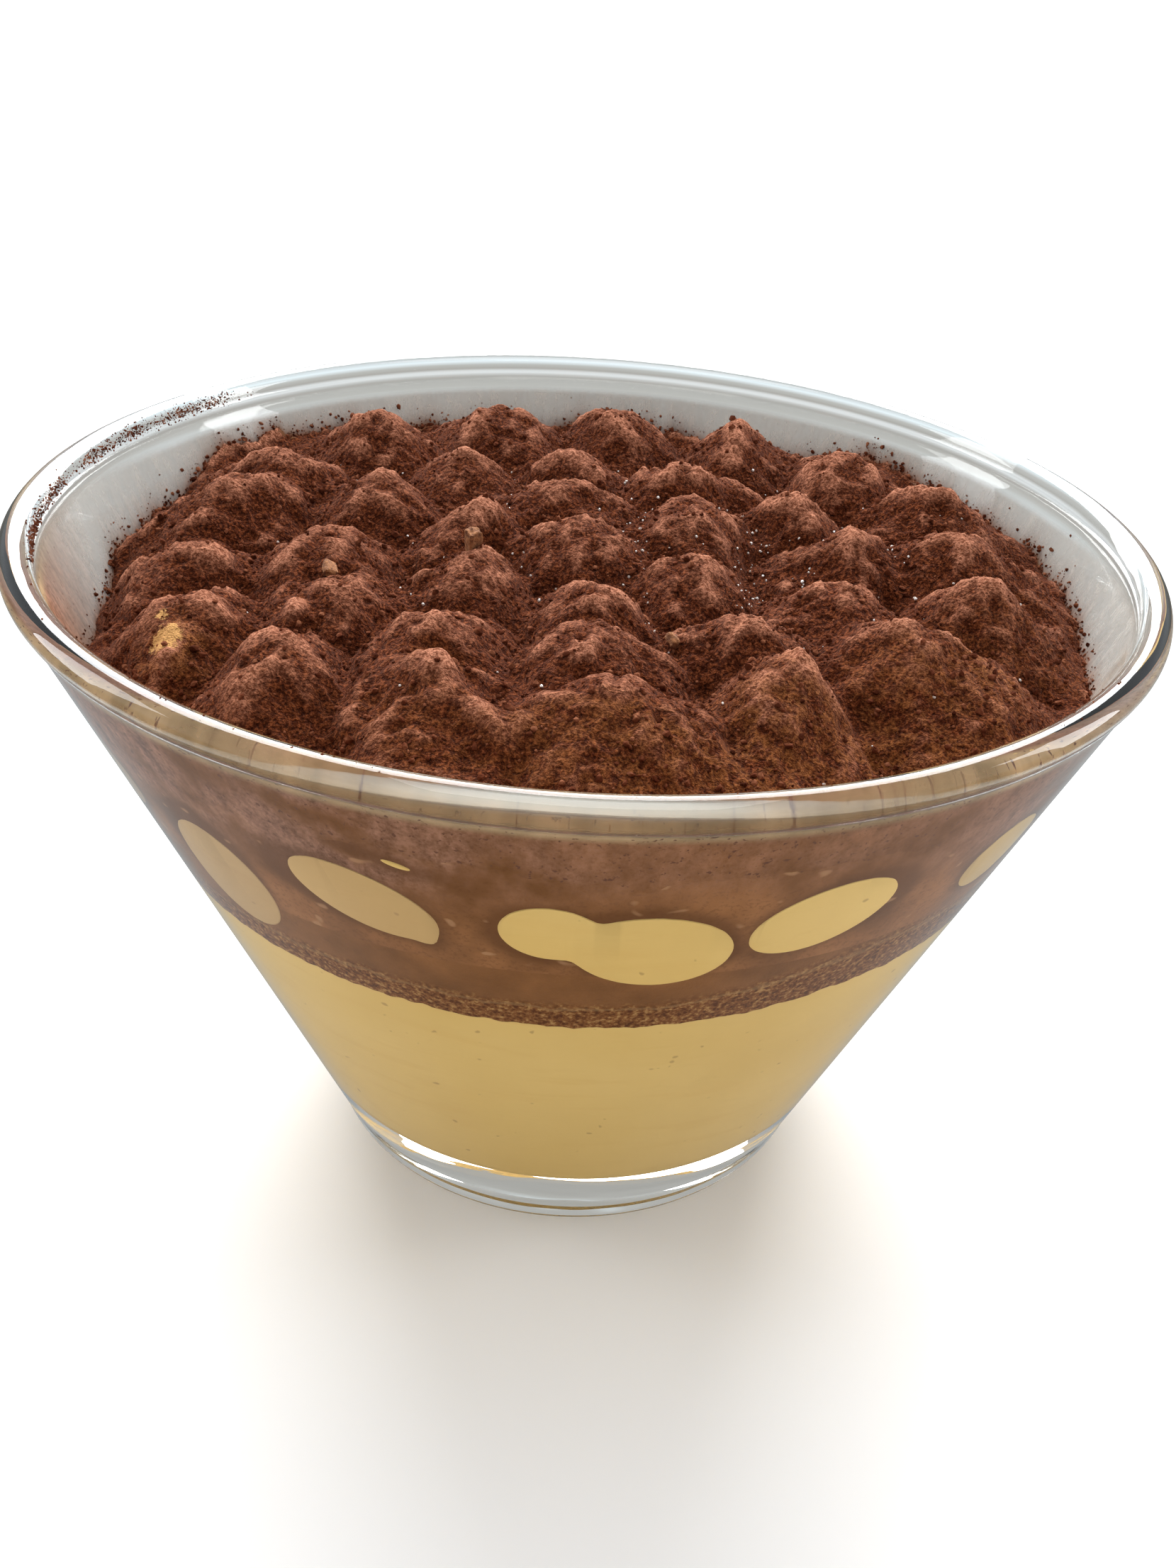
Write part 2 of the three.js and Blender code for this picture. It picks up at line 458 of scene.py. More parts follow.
def cocoa_dust():
    """What clings to the glass above the filling: streaks of brown cocoa over a pale haze, with a
    painted reflection under the front lip: a beige tint for the room that the bead shows.
    """
    m = Nodes("cocoa_dust")
    streaks = m.noise(1.1 * MM, detail=4, roughness=0.65, stretch=(1, 1, 0.28))
    blotches = m.noise(4 * MM, detail=3)
    specks = m.noise(0.5 * MM, detail=2)
    spread = m.times(m.plus(streaks, blotches), 0.5)
    brown = m.times(m.attribute("density"), m.between(spread, 0.36, 0.53), clamp=True)
    brown = m.plus(brown, m.attribute("dense"), clamp=True)
    # Painted reflection: the beige under the front lip stands in for the warm room that the bead
    # shows.
    pale = m.ramp(streaks, (0.35, (0.35, 0.3, 0.25)), (0.65, (0.51, 0.46, 0.4)))
    lip_reflection = m.ramp(blotches, (0.35, (0.3, 0.2, 0.1)), (0.65, (0.55, 0.37, 0.2)))
    haze = m.mix(m.attribute("lip_reflection"), stained(m), lip_reflection)
    colour = m.mix(brown, pale, haze)
    colour = m.mix(m.times(m.between(specks, 0.62, 0.7), brown), colour, (0.15, 0.065, 0.04))
    thickness = m.plus(m.times(brown, 0.5), m.times(streaks, 0.35))
    cover = m.times(m.attribute("fading"), m.plus(thickness, 0.22), clamp=True)
    m.link(cover, m.shader.inputs["Alpha"])
    return m.finish(colour, 0.9, DRY_SPECULAR)


def glint_speck():
    """Near-white, glossy specks. The gloss is the shader's own; the near-white colour is a painted
    glint.
    """
    m = Nodes("glint_speck")
    shade = m.noise(0.6 * MM, detail=1)
    return m.finish(m.ramp(shade, (0.35, (0.6, 0.5, 0.42)), (0.65, (0.95, 0.93, 0.9))), 0.15)


def baked_crumb():
    """Dry brown crumb with darker pores."""
    m = Nodes("baked_crumb")
    pores = m.noise(0.5 * MM, detail=3, roughness=0.7)
    m.roughen(pores, 0.3 * MM)
    return m.finish(m.ramp(pores, (0.35, (0.13, 0.042, 0.013)), (0.65, (0.42, 0.17, 0.06))), 0.85)


def pale_floor():
    """White round the cup and greyer far away, where the lamps stand nearer."""
    m = Nodes("pale_floor")
    away = m.node("ShaderNodeVectorMath", Vector=m.place)
    away.operation = "LENGTH"
    return m.finish(m.ramp(away.outputs["Value"], (0.12, 0.84), (0.5, 0.46)), 0.7)


# ------------------------ glass


def floor_rounding(inset, steps):
    """The rounding between the inner wall and the floor, from the wall down, moved by an inset."""
    centre_z = FLOOR_HEIGHT + FLOOR_FILLET
    centre_x = inner_radius(centre_z) - FLOOR_FILLET / math.cos(WALL_LEAN)
    radius = FLOOR_FILLET - inset
    points = []
    for i in range(steps + 1):
        turn = -WALL_LEAN - i / steps * (math.pi / 2 - WALL_LEAN)
        points.append((centre_x + radius * math.cos(turn), centre_z + radius * math.sin(turn)))
    return points


def glass_cup():
    """The cup, from the hollow under the foot round the heel, up to the bead and down inside."""
    section = [(0, HOLLOW_DEPTH), (HOLLOW_RADIUS - HOLLOW_DEPTH, HOLLOW_DEPTH), (HOLLOW_RADIUS, 0)]
    for turn in np.linspace(0, math.pi / 2, 7):
        x = FOOT_RADIUS + (HEEL_RADIUS - FOOT_RADIUS) * math.sin(turn)
        section.append((x, HEEL_HEIGHT * (1 - math.cos(turn))))
    for z in np.linspace(8 * MM, WALL_TOP_Z - 2.2 * MM, 6):
        section.append((outer_radius(z), z))
    section += curve(section[-1], (WALL_TOP_X - 0.15 * MM, WALL_TOP_Z), on_bead(-30), 6)
    section += [on_bead(a) for a in range(-20, 181, 10)]
    inner_top = BEAD_Z - 3.2 * MM
    bend = (inner_radius(BEAD_Z) - 0.25 * MM, BEAD_Z - BEAD_RADIUS)
    section += curve(on_bead(180), bend, (inner_radius(inner_top), inner_top), 6)
    for z in np.linspace(inner_top, FLOOR_HEIGHT + FLOOR_FILLET, 7)[1:-1]:
        section.append((inner_radius(z), z))
    section += floor_rounding(0, 6) + [(0, FLOOR_HEIGHT)]
    cup = spun("clear_cup", section)
    smooth(cup, 35)
    finish_piece(cup, clear_glass(), "clear_glass", "glass_cup")


# ------------------------ lower cream and sponge


def lower_cream(material):
    """The lower cream, with a wavy top that follows the wall."""
    rounding = floor_rounding(-CREAM_REACH, 5)[::-1]
    dry = FLOOR_HEIGHT + FLOOR_GAP
    section = [(0, dry), (rounding[0][0] - 0.4 * MM, dry)] + rounding
    for z in np.linspace(16 * MM, 44 * MM, 8):
        section.append((inner_radius(z) + CREAM_REACH, z))
    top = CREAM_TOP + CREAM_RISE
    section += [(inner_radius(top) + CREAM_REACH, top), (inner_radius(top) * 0.5, top), (0, top)]
    cream = spun("mascarpone_cream", section)
    places = vertices_of(cream)
    raised = places[:, 2] > top - TINY
    azimuth, radius = polar(places)
    share = radius / inner_radius(top)
    level = cream_level(azimuth, share) + CREAM_RISE
    places[raised, 2] = level[raised]
    at_wall = raised & (share > 0.9)
    spread = (inner_radius(places[:, 2]) + CREAM_REACH) / inner_radius(top)
    places[:, :2] *= np.where(at_wall, spread / np.where(at_wall, share, 1), 1)[:, None]
    set_vertices(cream, places)
    smooth(cream)
    finish_piece(cream, material, "mascarpone_cream", "lower_cream")


def sponge():
    """The sponge. Its lower edge is crumbly: it hangs over the cream by a ragged lip."""
    bottom = CREAM_TOP - SPONGE_SINK
    section = [(0, bottom), (inner_radius(bottom) - 2 * MM, bottom)]
    for z in np.linspace(bottom, SPONGE_TOP, 14):
        section.append((inner_radius(z) + SPONGE_REACH, z))
    section.append((0, SPONGE_TOP))
    piece = spun("sponge", section, 720)
    places = vertices_of(piece)
    azimuth, radius = polar(places)
    share = np.clip(radius / inner_radius(CREAM_TOP), 0, 1)
    level = cream_level(azimuth, share) - SPONGE_SINK
    ragged = 0.35 * MM * rough(places, 1.1 * MM) + 0.25 * MM * rough(places, 3.5 * MM)
    level = level + np.where(share > 0.99, ragged, 0)
    up = np.clip((places[:, 2] - bottom) / (SPONGE_TOP - bottom), 0, 1)
    z = level + up * (SPONGE_TOP - level)
    at_wall = radius > inner_radius(bottom) - MM
    wall = inner_radius(z) + SPONGE_REACH
    places[:, :2] *= np.where(at_wall, wall / np.maximum(radius, 1e-9), 1)[:, None]
    places[:, 2] = z
    set_vertices(piece, places)
    # The open crumb reaches higher on the right.
    deep = 1 + 0.8 * np.clip((np.degrees(azimuth) - 12) / 25, 0, 1)
    add_values(piece, "above", (z - level) / MM / deep)
    smooth(piece, 60)
    finish_piece(piece, soaked_crumb(), "soaked_sponge", "soaked_sponge")


# ------------------------ where the cocoa's surface lies

TIP_SOFTNESS = 3.4 * MM
FLANK_SLOPE = 1.0
BLEND = 0.45 * MM  # how softly the mounds run into each other
SMALL_MOUNDS = 90


def tip_of(node):
    """The highest point of a dollop's solid."""
    return max((v.co.copy() for v in node.data.vertices), key=lambda v: v.z)


TIPS = {name: tip_of(node) for name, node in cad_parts.items() if name.startswith("dollop")}


def mound_height(x, y):
    """Height of the cocoa's broad relief: soft, uneven cones that run into each other."""
    random = np.random.default_rng(SEED)
    heights = []
    for tip in TIPS.values():
        slope = FLANK_SLOPE * random.uniform(0.88, 1.12)
        softness = TIP_SOFTNESS * random.uniform(0.6, 1.3)
        turn = random.uniform(0, math.pi)
        stretch = random.uniform(1.0, 1.35)
        along = (x - tip.x) * math.cos(turn) + (y - tip.y) * math.sin(turn)
        across = (y - tip.y) * math.cos(turn) - (x - tip.x) * math.sin(turn)
        distance = np.hypot(along / stretch, across * math.sqrt(stretch))
        heights.append(tip.z + softness - np.hypot(slope * distance, softness))
    heights = np.array(heights)
    top = heights.max(0)
    return top + BLEND * np.log(np.exp((heights - top) / BLEND).sum(0)) - 0.3 * MM


def small_mounds(x, y):
    """Small heaps of cocoa that lie between and on the mounds."""
    random = np.random.default_rng(SEED + 1)
    height = np.zeros_like(x)
    for _ in range(SMALL_MOUNDS):
        radius = 50 * MM * math.sqrt(random.uniform(0, 1))
        turn = random.uniform(0, 2 * math.pi)
        width = random.uniform(0.9, 2.3) * MM
        rise = width * random.uniform(0.25, 0.5)
        away = (x - radius * math.cos(turn)) ** 2 + (y - radius * math.sin(turn)) ** 2
        height += rise * np.exp(-away / width**2)
    return height


CRACK_START = Vector((37.0 * MM, -20.0 * MM))
CRACK_END = Vector((40.5 * MM, -15.5 * MM))
CRACK_WIDTH = 0.45 * MM
CRACK_DEPTH = 1.3 * MM


def crack(x, y):
    """A split in the crust of one mound."""
    run = CRACK_END - CRACK_START
    along = ((x - CRACK_START.x) * run.x + (y - CRACK_START.y) * run.y) / run.length_squared
    bend = 0.5 * MM * np.sin(along * 7)
    across = ((x - CRACK_START.x) * run.y - (y - CRACK_START.y) * run.x) / run.length - bend
    inside = np.clip(1 - np.abs(along - 0.5) * 2, 0, 1) ** 0.5
    return CRACK_DEPTH * inside * np.exp(-((across / CRACK_WIDTH) ** 2))


# Height at which the cocoa meets the glass, as azimuth and millimetres.
CONTACT_ROUND = [
    (-180, 69.1), (-160, 68.6), (-145, 69.4), (-130, 70.8), (-119, 71.4), (-106, 67.4),
    (-90, 66.7), (-84, 64.4), (-77, 64.2), (-60, 67.4), (-38, 68.0), (-17, 69.6),
    (6, 68.4), (32, 69.2), (57, 68.2), (83, 66.9), (94, 67.3), (111, 69.2),
    (119, 68.7), (129, 69.7), (142, 71.4), (156, 67.8), (180, 69.1),
]
WALL_PULL = 5 * MM  # how far from the glass that line shapes the mounds


def contact_guide(degrees):
    return by_azimuth(CONTACT_ROUND, degrees) * MM


def relief(x, y):
    """The mounds, drawn at the wall to the height at which they meet the glass."""
    azimuth = np.degrees(np.arctan2(x, -y))
    guide = contact_guide(azimuth)
    wall = inner_radius(guide)
    turn = np.radians(azimuth)
    at_wall = mound_height(wall * np.sin(turn), -wall * np.cos(turn))
    pull = np.exp(-np.clip(wall - np.hypot(x, y), 0, None) / WALL_PULL)
    return mound_height(x, y) + pull * (guide - at_wall)


# Finer and finer lumps on the cocoa: height, wavelength and a shift that sets each apart.
FINE_LUMPS = [(0.5 * MM, 2.4 * MM, 5.0), (0.22 * MM, 0.95 * MM, 2.0), (0.1 * MM, 0.6 * MM, 8.0)]


def cocoa_height(x, y):
    """Height of the cocoa's surface: the mounds, bent out of true, with lumps on them."""
    flat = np.stack([x, y, np.zeros_like(x)], 1)
    bent_x = x + 1.8 * MM * rough(flat, 7 * MM, 3.0) + 0.7 * MM * rough(flat, 2.6 * MM, 4.0)
    bent_y = y + 1.8 * MM * rough(flat, 7 * MM, 9.0) + 0.7 * MM * rough(flat, 2.6 * MM, 6.0)
    height = relief(bent_x, bent_y)
    height += 0.75 * MM * rough(flat, 5.5 * MM, 1.0)
    height += small_mounds(x, y)
    height += 0.36 * MM * (0.3 - np.abs(rough(flat, 1.7 * MM, 7.0))) * 2
    for rise, wavelength, shift in FINE_LUMPS:
        height += rise * rough(flat, wavelength, shift)
    return height - crack(x, y)


def crest_of(x, y):
    """How much each place stands proud of what lies round it, in millimetres."""
    reach = 2.4 * MM
    around = sum(
        cocoa_height(x + reach * math.cos(turn), y + reach * math.sin(turn))
        for turn in np.linspace(0.4, 0.4 + 2 * math.pi, 5)[:-1]
    )
    return (cocoa_height(x, y) - around / 4) / MM


def contact_height(azimuth):
    """Height at which the cocoa meets the glass at each azimuth."""
    z = np.full_like(azimuth, 68 * MM)
    for _ in range(5):
        wall = inner_radius(z)
        z = cocoa_height(wall * np.sin(azimuth), -wall * np.cos(azimuth))
    return z


AZIMUTHS = np.linspace(-math.pi, math.pi, 2881)
CONTACT = contact_height(AZIMUTHS)


def contact_at(azimuth):
    return np.interp(azimuth, AZIMUTHS, CONTACT)


# ------------------------ cocoa coat

HEART_RADIUS = 24 * MM  # where the two pieces of the coat meet
FULL_RADIUS = 54 * MM  # radius of the coat's flat template
COAT = 1.6 * MM  # thickness of the cocoa over the cream

# Places where the cocoa lies thin, and where it has fallen off: x, y, radius and strength.
THIN_SPOTS = [
    (-12.1, -32.4, 2.4, 1.0), (-36.5, -31.0, 3.4, 1.0), (39.5, -22.5, 4.0, 0.9), (18, -33, 5, 0.6),
]
BARE_SPOTS = [(-37.1, -30.2, 1.7, 1.0), (-38.3, -27.4, 0.9, 0.7)]


def near_spots(x, y, spots):
    value = np.zeros_like(x)
    for spot_x, spot_y, radius, strength in spots:
        distance = np.hypot(x - spot_x * MM, y - spot_y * MM) / (radius * MM)
        value = np.maximum(value, strength * np.exp(-(distance**2)))
    return value


def thin_places(x, y):
    """Where the cocoa lies so thin that it looks orange: the outer flanks of the nearest mounds."""
    step = 0.8 * MM
    fall = (mound_height(x, y + step) - mound_height(x, y - step)) / (2 * step)
    azimuth = np.arctan2(x, -y)
    near = np.exp(-(((azimuth - radians(28)) / radians(42)) ** 2))
    outside = np.clip((np.hypot(x, y) - 31 * MM) / (10 * MM), 0, 1)
    flank = np.clip(fall / 0.5, 0, 1) * near * outside
    return np.maximum(0.75 * flank, near_spots(x, y, THIN_SPOTS))


def shape_coat(piece):
    """Turns a flat template into the coat. The template's upper face lies at z = 0 and its lower
    face at z = -1 mm."""
    places = vertices_of(piece)
    azimuth, radius = polar(places)
    contact = contact_at(azimuth)
    edge = inner_radius(contact) + COCOA_REACH
    spread = radius / FULL_RADIUS * edge
    x = spread * np.sin(azimuth)
    y = -spread * np.cos(azimuth)
    upper = np.abs(places[:, 2]) < TINY
    z = relief(x, y) - COAT
    z[upper] = cocoa_height(x[upper], y[upper])
    at_rim = radius > FULL_RADIUS - TINY
    z = np.where(at_rim & upper, contact, z)
    z = np.where(at_rim & ~upper, contact - COAT, z)
    spread = np.minimum(spread, inner_radius(z) + COCOA_REACH)
    set_vertices(piece, around(azimuth, spread, z))
    # How proud each place stands: the cocoa shader paints a highlight on the crests by it.
    crest = np.zeros_like(z)
    crest[upper] = crest_of(x[upper], y[upper])
    add_values(piece, "crest", crest)
    add_values(piece, "thin", thin_places(x, y))
    add_values(piece, "bare", near_spots(x, y, BARE_SPOTS))


def coat(name, inside, outside, rings, steps, material):
    """One piece of the coat, between two radii of the template. Below it has fewer rings."""
    section = [(r, 0) for r in np.linspace(inside, outside, rings)]
    section += [(r, -MM) for r in np.linspace(outside, inside, 14)]
    section += section[:1] if inside else []
    piece = spun(name, section, steps)
    shape_coat(piece)
    smooth(piece, 80)
    finish_piece(piece, material, "cocoa_dusted_cream")


# ------------------------ clean patches and the brown film

# Where outer dollops press clean against the glass. Each lobe is an azimuth, a height, a half
# width, a half height and a tilt; the lobes of one dollop stand under its azimuth.
PATCHES = {
    -38: [(-35.8, 57.8, 5.3, 6.8, 10)],
    -17: [(-18.4, 61.0, 7.3, 3.9, -20), (-12.0, 58.0, 1.9, 1.3, -40)],
    6: [(0.8, 60.0, 4.9, 3.9, -6), (10.2, 58.9, 7.0, 5.3, -10), (16.6, 57.6, 1.8, 1.6, -30)],
    32: [(28.2, 61.2, 7.1, 4.5, 20)],
    54: [(50.5, 61.0, 5.2, 4.4, 12)],
}
SLIVER = (-13.2, 67.2, 1.9, 0.42, -14)  # a thin smear of cream above the second patch


def patch_lobes(name, tip):
    """The lobes of an outer dollop's clean patch, named above or drawn by lot."""
    azimuth = math.degrees(math.atan2(tip.x, -tip.y))
    for middle, lobes in PATCHES.items():
        if abs(middle - azimuth) < 6:
            return lobes
    random = np.random.default_rng(int(name[-2:]))
    half_height = random.uniform(3.2, 4.8)
    highest = contact_guide(azimuth) / MM - half_height - 2.2
    return [
        (
            azimuth + random.uniform(-3, 3), min(random.uniform(59, 62), highest),
            random.uniform(4.5, 7.2), half_height, random.uniform(-15, 15),
        )
    ]


LOBES = {name: patch_lobes(name, tip) for name, tip in TIPS.items() if "outer" in name}


def beyond_patches(azimuth, z):
    """How far each place on the wall lies outside the nearest clean patch, in millimetres."""
    nearest = np.full_like(azimuth, 99.0)
    for lobe_azimuth, lobe_z, half_width, half_height, tilt in sum(LOBES.values(), [SLIVER]):
        along = (azimuth - radians(lobe_azimuth) + math.pi) % (2 * math.pi) - math.pi
        along = along * inner_radius(lobe_z * MM) / MM
        up = (z / MM - lobe_z) / math.cos(WALL_LEAN)
        turn = radians(tilt)
        u = (along * math.cos(turn) + up * math.sin(turn)) / half_width
        v = (up * math.cos(turn) - along * math.sin(turn)) / half_height
        nearest = np.minimum(nearest, (np.hypot(u, v) - 1) * min(half_width, half_height))
    return nearest


FILM = 0.5 * MM  # thickness of the brown film between cream and glass
FILM_FOOT = SPONGE_TOP - 1.2 * MM


def haze_share(azimuth, z):
    """Where the stain is mauve: high up, and most of all on the left."""
    left = np.clip((radians(8) - azimuth) / radians(25), 0, 1)
    right = np.clip((azimuth - radians(32)) / radians(25), 0, 1)
    high = np.clip((z - (64 * MM - (4 * left + 9 * right) * MM)) / (5 * MM), 0, 1)
    return high * (0.5 + 0.5 * np.maximum(left, right))


def brown_film():
    """The film that the cocoa and coffee leave between the dollops and the glass."""
    tall = 15 * MM  # height of the straight ring that becomes the film
    section = [(FULL_RADIUS, -z) for z in np.linspace(0, tall, 40)]
    section += [(FULL_RADIUS - MM, -z) for z in np.linspace(tall, 0, 8)]
    section += [section[0]]
    piece = spun("coffee_film", section, 720)
    places = vertices_of(piece)
    azimuth, radius = polar(places)
    contact = contact_at(azimuth) - 0.2 * MM
    z = contact + places[:, 2] / tall * (contact - FILM_FOOT)
    outer = radius > FULL_RADIUS - 0.5 * MM
    # It sinks into the sponge below and behind the dust above.
    reach = FILM_REACH - 0.06 * MM * np.clip((SPONGE_TOP - z) / MM, 0, 1)
    reach -= 0.12 * MM * np.clip(1 - (contact - z) / MM, 0, 1)
    spread = inner_radius(z) + np.where(outer, reach, -FILM)
    set_vertices(piece, around(azimuth, spread, z))
    beyond = beyond_patches(azimuth, z)
    add_values(piece, "edge", np.exp(-((np.maximum(beyond, 0) / 0.9) ** 2)))
    add_values(piece, "haze", haze_share(azimuth, z))
    smooth(piece)
    finish_piece(piece, coffee_film(), "cocoa_dusted_cream")


# ------------------------ dollops of cream

# How far the stain has crept over the clean patches, as azimuth and share.
STAINS = [
    (-85, 0), (-62, 0.8), (-45, 0.75), (-37, 0.6), (-17, 0.5), (-5, 0), (40, 0), (54, 0.4), (75, 0),
]

BALL = dict(segments=24, ring_count=16, radius=1, location=(0, 0, 0))


def pressed_lobe(azimuth, z, half_width, half_height, tilt, depth):
    """A ball of cream that the glass presses flat over the given half width and half height."""
    press = 0.62  # how far from its middle the glass cuts the ball, as a share of its depth
    grow = 1 / math.sqrt(1 - press**2)
    turn = radians(azimuth)
    centre = Vector((math.sin(turn), -math.cos(turn), 0)) * (inner_radius(z * MM) - depth * press)
    centre.z = z * MM
    bpy.ops.mesh.primitive_uv_sphere_add(**BALL)
    lobe = bpy.context.object
    bpy.ops.transform.resize(value=(half_width * MM * grow, depth, half_height * MM * grow))
    bpy.ops.object.transform_apply(location=True, rotation=True, scale=True)
    lobe.matrix_world = (
        Matrix.Translation(centre)
        @ Matrix.Rotation(turn, 4, "Z")
        @ Matrix.Rotation(-WALL_LEAN, 4, "X")
        @ Matrix.Rotation(radians(-tilt), 4, "Y")
    )
    settle(lobe)
    return lobe


DOLLOP_WIDTH = 6.6 * MM  # half the width of a dollop's round foot
DOLLOP_RISE = 6 * MM  # and half its height
DOLLOP_MIDDLE = 61 * MM
NECK_FOOT = 58 * MM
NECK_WIDTH = 6.2 * MM
TIP_WIDTH = 0.6 * MM
LOBE_DEPTH = 8.5 * MM
COVERED = 0.5 * MM  # the least cocoa over a dollop


def dollop(name, tip, material, cavity):
    """A piped dollop of cream: a round foot drawn up to a tip. An outer one is pressed flat by the
    glass."""
    deselect()
    if name in LOBES:
        parts = [
            pressed_lobe(*lobe, LOBE_DEPTH if i == 0 else min(lobe[2:4]) * 1.6 * MM)
            for i, lobe in enumerate(LOBES[name])
        ]
    else:
        bpy.ops.mesh.primitive_uv_sphere_add(**BALL)
        bpy.ops.transform.resize(value=(DOLLOP_WIDTH, DOLLOP_WIDTH, DOLLOP_RISE))
        parts = [bpy.context.object]
        parts[0].location = (tip.x, tip.y, DOLLOP_MIDDLE)
        settle(parts[0])
    deselect()
    neck_top = tip.z - COAT
    room = inner_radius(NECK_FOOT) - math.hypot(tip.x, tip.y) - 0.9 * MM
    bpy.ops.mesh.primitive_cone_add(
        vertices=24, radius1=min(NECK_WIDTH, room), radius2=TIP_WIDTH, depth=neck_top - NECK_FOOT,
        location=(tip.x, tip.y, (neck_top + NECK_FOOT) / 2),
    )
    parts.append(bpy.context.object)
    settle(parts[-1])
    deselect()
    for part in parts:
        part.select_set(True)
    piece = parts[0]
    piece.name = name.replace("dollop", "cream_dollop")
    bpy.context.view_layer.objects.active = piece
    bpy.ops.object.join()
    apply_modifier(piece, "REMESH", mode="VOXEL", voxel_size=0.6 * MM)
    apply_modifier(piece, "SMOOTH", factor=0.7, iterations=5)
    if name in LOBES:
        apply_modifier(piece, "BOOLEAN", operation="INTERSECT", object=cavity, solver="EXACT")
        azimuth = math.degrees(math.atan2(tip.x, -tip.y))
        add_values(piece, "stain", np.full(len(piece.data.vertices), by_azimuth(STAINS, azimuth)))
    places = vertices_of(piece)
    places[:, 2] = np.minimum(places[:, 2], cocoa_height(places[:, 0], places[:, 1]) - COVERED)
    set_vertices(piece, places)
    smooth(piece, 50)
    finish_piece(piece, material, "mascarpone_cream", name)


def dollops(material):
    """All the dollops and the smear of cream, cut to the cup's inside."""
    low, high = 40 * MM, 80 * MM
    walls = [(inner_radius(z) + DOLLOP_REACH, z) for z in (low, high)]
    cavity = spun("cavity", [(0, low), *walls, (0, high)])
    for name, tip in TIPS.items():
        dollop(name, tip, material, cavity)
    smear = pressed_lobe(*SLIVER, 0.9 * MM)
    smear.name = "cream_smear"
    apply_modifier(smear, "BOOLEAN", operation="INTERSECT", object=cavity, solver="EXACT")
    smooth(smear, 50)
    finish_piece(smear, material, "mascarpone_cream")
    bpy.data.objects.remove(cavity)


# ------------------------ dust, crumbs and glinting specks

# How many are drawn; some are then dropped where they would lie on a crest.
GRAINS = 13000
CLUMPS = 5200
GLINT_SPECKS = 900
SMEAR_GRAINS = 2600
STRAY_GRAINS = 60
SMEARED = [-70, -76, -84, -96, -104, -112, -118]  # azimuths of the smear on the lip

# How thickly cocoa dusts the inner wall, as azimuth and share.
DUST_ROUND = [
    (-180, 0.35), (-150, 0.75), (-130, 1.0), (-95, 1.0), (-70, 0.95), (35, 1.0), (80, 1.0),
    (110, 0.7), (130, 0.3), (155, 0.1), (180, 0.25),
]
DUST_TOP = 74.9 * MM
BARE_BACK = 1.4 * MM  # how much lower the dust ends at the back
DUST_FOOT = 1.5 * MM  # how far the dust runs down under the cocoa's edge
DUST_DEPTH = 0.08 * MM
DUST_REACH = 0.12 * MM  # it hides the cocoa's edge


def dust_on_wall():
    """A thin skin of dust on the inner wall, from under the cocoa's edge to near the rim."""
    tall = 10 * MM  # height of the straight ring that becomes the dust
    section = [(FULL_RADIUS, z) for z in np.linspace(0, tall, 26)]
    section += [(FULL_RADIUS - MM, z) for z in np.linspace(tall, 0, 26)]
    section += [section[0]]
    piece = spun("wall_dust", section, 480)
    places = vertices_of(piece)
    azimuth, radius = polar(places)
    foot = contact_at(azimuth) - DUST_FOOT
    up = places[:, 2] / tall
    top = DUST_TOP - BARE_BACK * np.clip((np.abs(azimuth) - radians(80)) / radians(30), 0, 1)
    z = foot + up * (top - foot)
    outer = radius > FULL_RADIUS - 0.5 * MM
    spread = inner_radius(z) + np.where(outer, DUST_REACH, -DUST_DEPTH)
    set_vertices(piece, around(azimuth, spread, z))
    share = by_azimuth(DUST_ROUND, np.degrees(azimuth))
    above = (z - contact_at(azimuth)) / MM
    front = np.clip((80 - np.abs(np.degrees(azimuth) + 8)) / 25, 0, 1)
    add_values(piece, "density", np.clip(share * np.exp(-np.clip(above, 0, None) / 9), 0, 1))
    add_values(piece, "dense", np.maximum(np.exp(-np.clip(above, 0, None) / 1.2), front))
    # Painted reflection: a beige band on the real dust under the front lip, where the bead shows
    # the room.
    add_values(piece, "lip_reflection", front * np.clip((z - 72.9 * MM) / MM, 0, 1))
    add_values(piece, "haze", haze_share(azimuth, z))
    add_values(piece, "fading", np.clip((top - z) / (0.8 * MM), 0, 1))
    smooth(piece)
    finish_piece(piece, cocoa_dust(), "cocoa_dusted_cream")


def scatter(name, places, sizes, material, slot, roughness=0.3):
    """One mesh of many small grains: a 20-sided ball copied to each place, dented, squashed and
    turned at random."""
    deselect()
    bpy.ops.mesh.primitive_ico_sphere_add(subdivisions=1, radius=1, location=(0, 0, 0))
    ball = bpy.context.object
    corners = vertices_of(ball)
    faces = np.array([face.vertices[:] for face in ball.data.polygons])
    random = np.random.default_rng(SEED + len(places))
    count = len(places)
    grains = corners[None] * (1 + roughness * random.uniform(-1, 1, (count, len(corners), 1)))
    grains *= random.uniform(0.65, 1.35, (count, 1, 3))
    axes, _ = np.linalg.qr(random.normal(size=(count, 3, 3)))
    axes *= np.sign(np.linalg.det(axes))[:, None, None]
    grains = np.einsum("nij,nkj->nki", axes, grains) * np.asarray(sizes)[:, None, None]
    grains += places[:, None, :]
    all_faces = faces[None] + len(corners) * np.arange(count)[:, None, None]
    mesh = bpy.data.meshes.new(name)
    mesh.from_pydata(grains.reshape(-1, 3).tolist(), [], all_faces.reshape(-1, 3).tolist())
    bpy.data.objects.remove(ball)
    piece = bpy.data.objects.new(name, mesh)
    bpy.context.scene.collection.objects.link(piece)
    finish_piece(piece, material, slot)


def on_cocoa(x, y, sizes, lift):
    """Places on the cocoa's surface, lifted by a share of each grain's size."""
    return np.stack([x, y, cocoa_height(x, y) + lift * sizes], 1)


